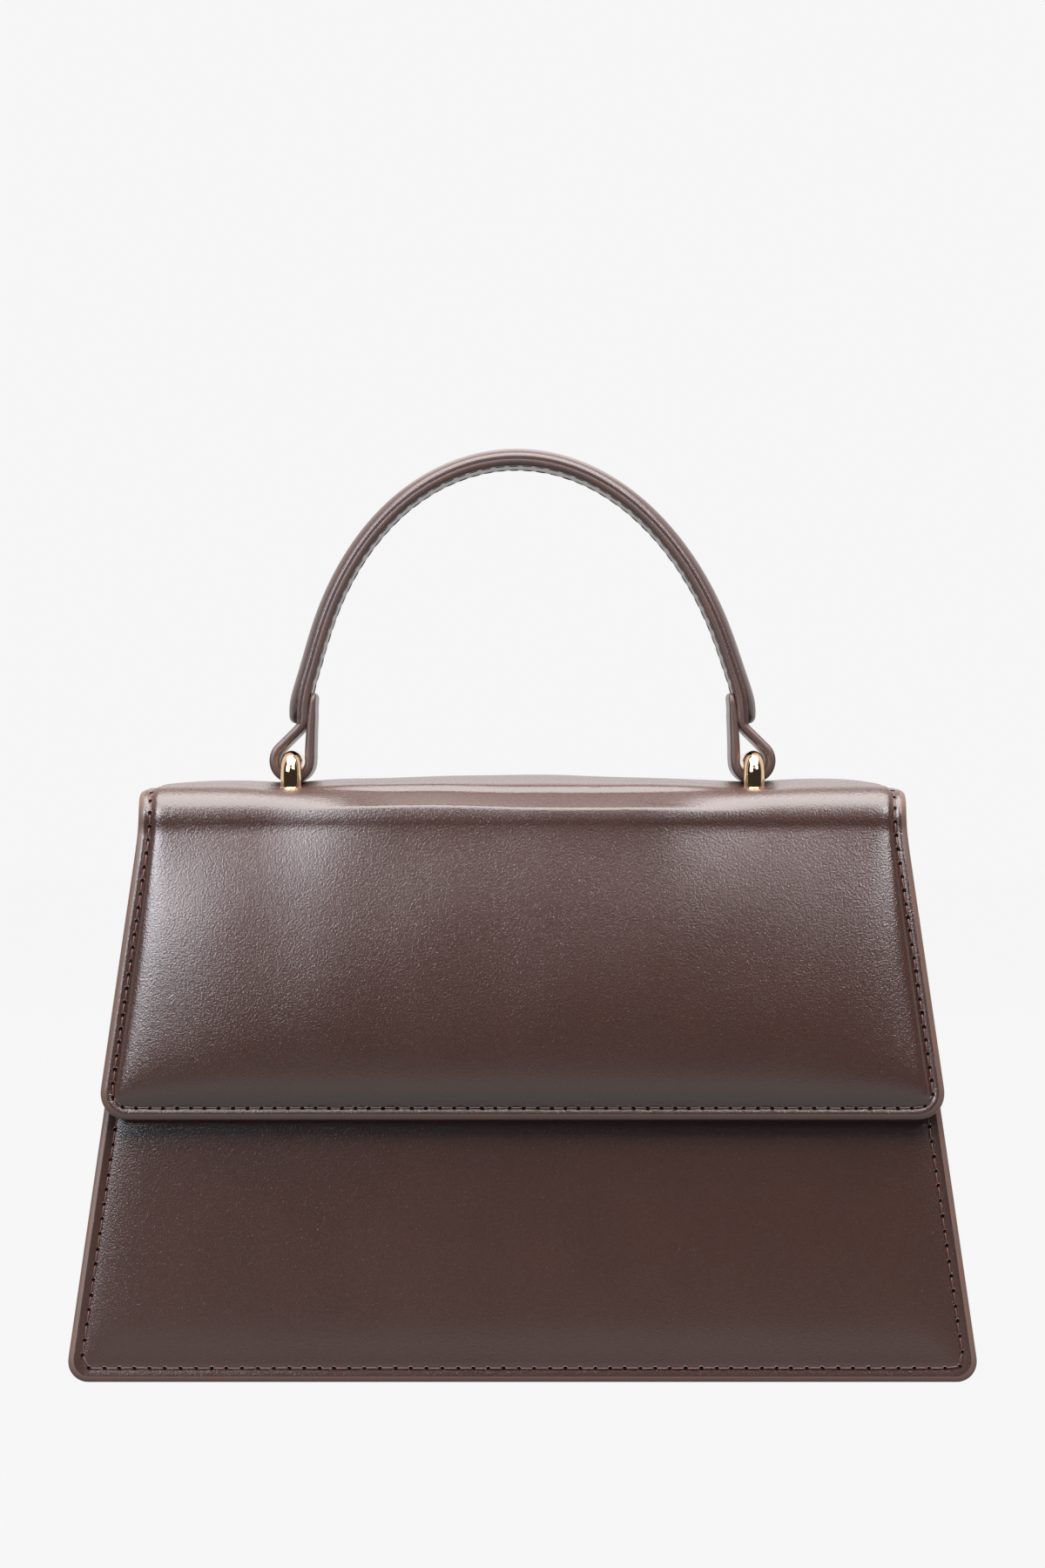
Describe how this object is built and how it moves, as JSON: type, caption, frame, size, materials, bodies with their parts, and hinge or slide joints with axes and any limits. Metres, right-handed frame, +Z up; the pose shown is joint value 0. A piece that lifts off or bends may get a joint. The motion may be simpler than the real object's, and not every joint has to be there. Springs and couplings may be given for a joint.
{
  "type": "leather satchel",
  "caption": "Trapezoid leather satchel with a stitched front flap, magnetic closure, folding side gussets and an arched top handle looped round two metal rings.",
  "frame": {"origin": "middle of the footprint, on the surface that the bag stands on", "axes": "+Z up; -Y is the front, where the flap hangs; +X to the right seen from the front"},
  "size_m": [0.262, 0.084, 0.2726],
  "materials": {
    "body_leather": "smooth semi-gloss, dark brown",
    "flap_leather": "fine pebble grain, semi-gloss, dark brown",
    "gusset_leather": "smooth, dark brown",
    "handle_leather": "smooth, painted edges",
    "lining": "brushed microfibre",
    "flap_lining": "thin smooth leather",
    "board": "pressed fibre board",
    "padding": "soft felt",
    "gold_metal": "polished pale gold",
    "screw_steel": "plated"
  },
  "bodies": {
    "bag_body": {"front_panel": "body_leather", "front_board": "board", "front_lining": "lining", "back_panel": "body_leather", "back_board": "board", "back_lining": "lining", "left_gusset": "gusset_leather", "right_gusset": "gusset_leather", "left_gusset_lining": "lining", "right_gusset_lining": "lining", "base_gusset": "gusset_leather", "base_board": "board", "base_lining": "lining", "slip_pocket": "lining", "panel_magnet": "gold_metal", "panel_magnet_washer": "screw_steel"},
    "flap_top": {"top_leather": "flap_leather", "top_board": "board", "top_lining": "flap_lining", "hinge_strip": "body_leather", "left_ring": "gold_metal", "right_ring": "gold_metal", "left_ring_plate": "gold_metal", "right_ring_plate": "gold_metal", "left_ring_screws": "screw_steel", "right_ring_screws": "screw_steel"},
    "flap_front": {"flap_leather": "flap_leather", "flap_padding": "padding", "flap_lining": "flap_lining", "flap_magnet": "gold_metal", "flap_magnet_washer": "screw_steel"},
    "handle": {"handle_strap": "handle_leather", "handle_cover": "handle_leather", "handle_filler": "padding"}
  },
  "joints": [
    {"name": "flap_hinge", "type": "hinge", "parent": "bag_body", "child": "flap_top", "pos_m": [0, 0.02326, 0.16763], "axis": [-1, 0, 0], "range_deg": [0, 150]},
    {"name": "flap_fold", "type": "hinge", "parent": "flap_top", "child": "flap_front", "pos_m": [0, -0.02855, 0.16815], "axis": [-1, 0, 0], "range_deg": [0, 80]},
    {"name": "handle_tilt", "type": "hinge", "parent": "flap_top", "child": "handle", "pos_m": [0, -0.00164, 0.1793], "axis": [1, 0, 0], "range_deg": [-5, 5]}
  ]
}
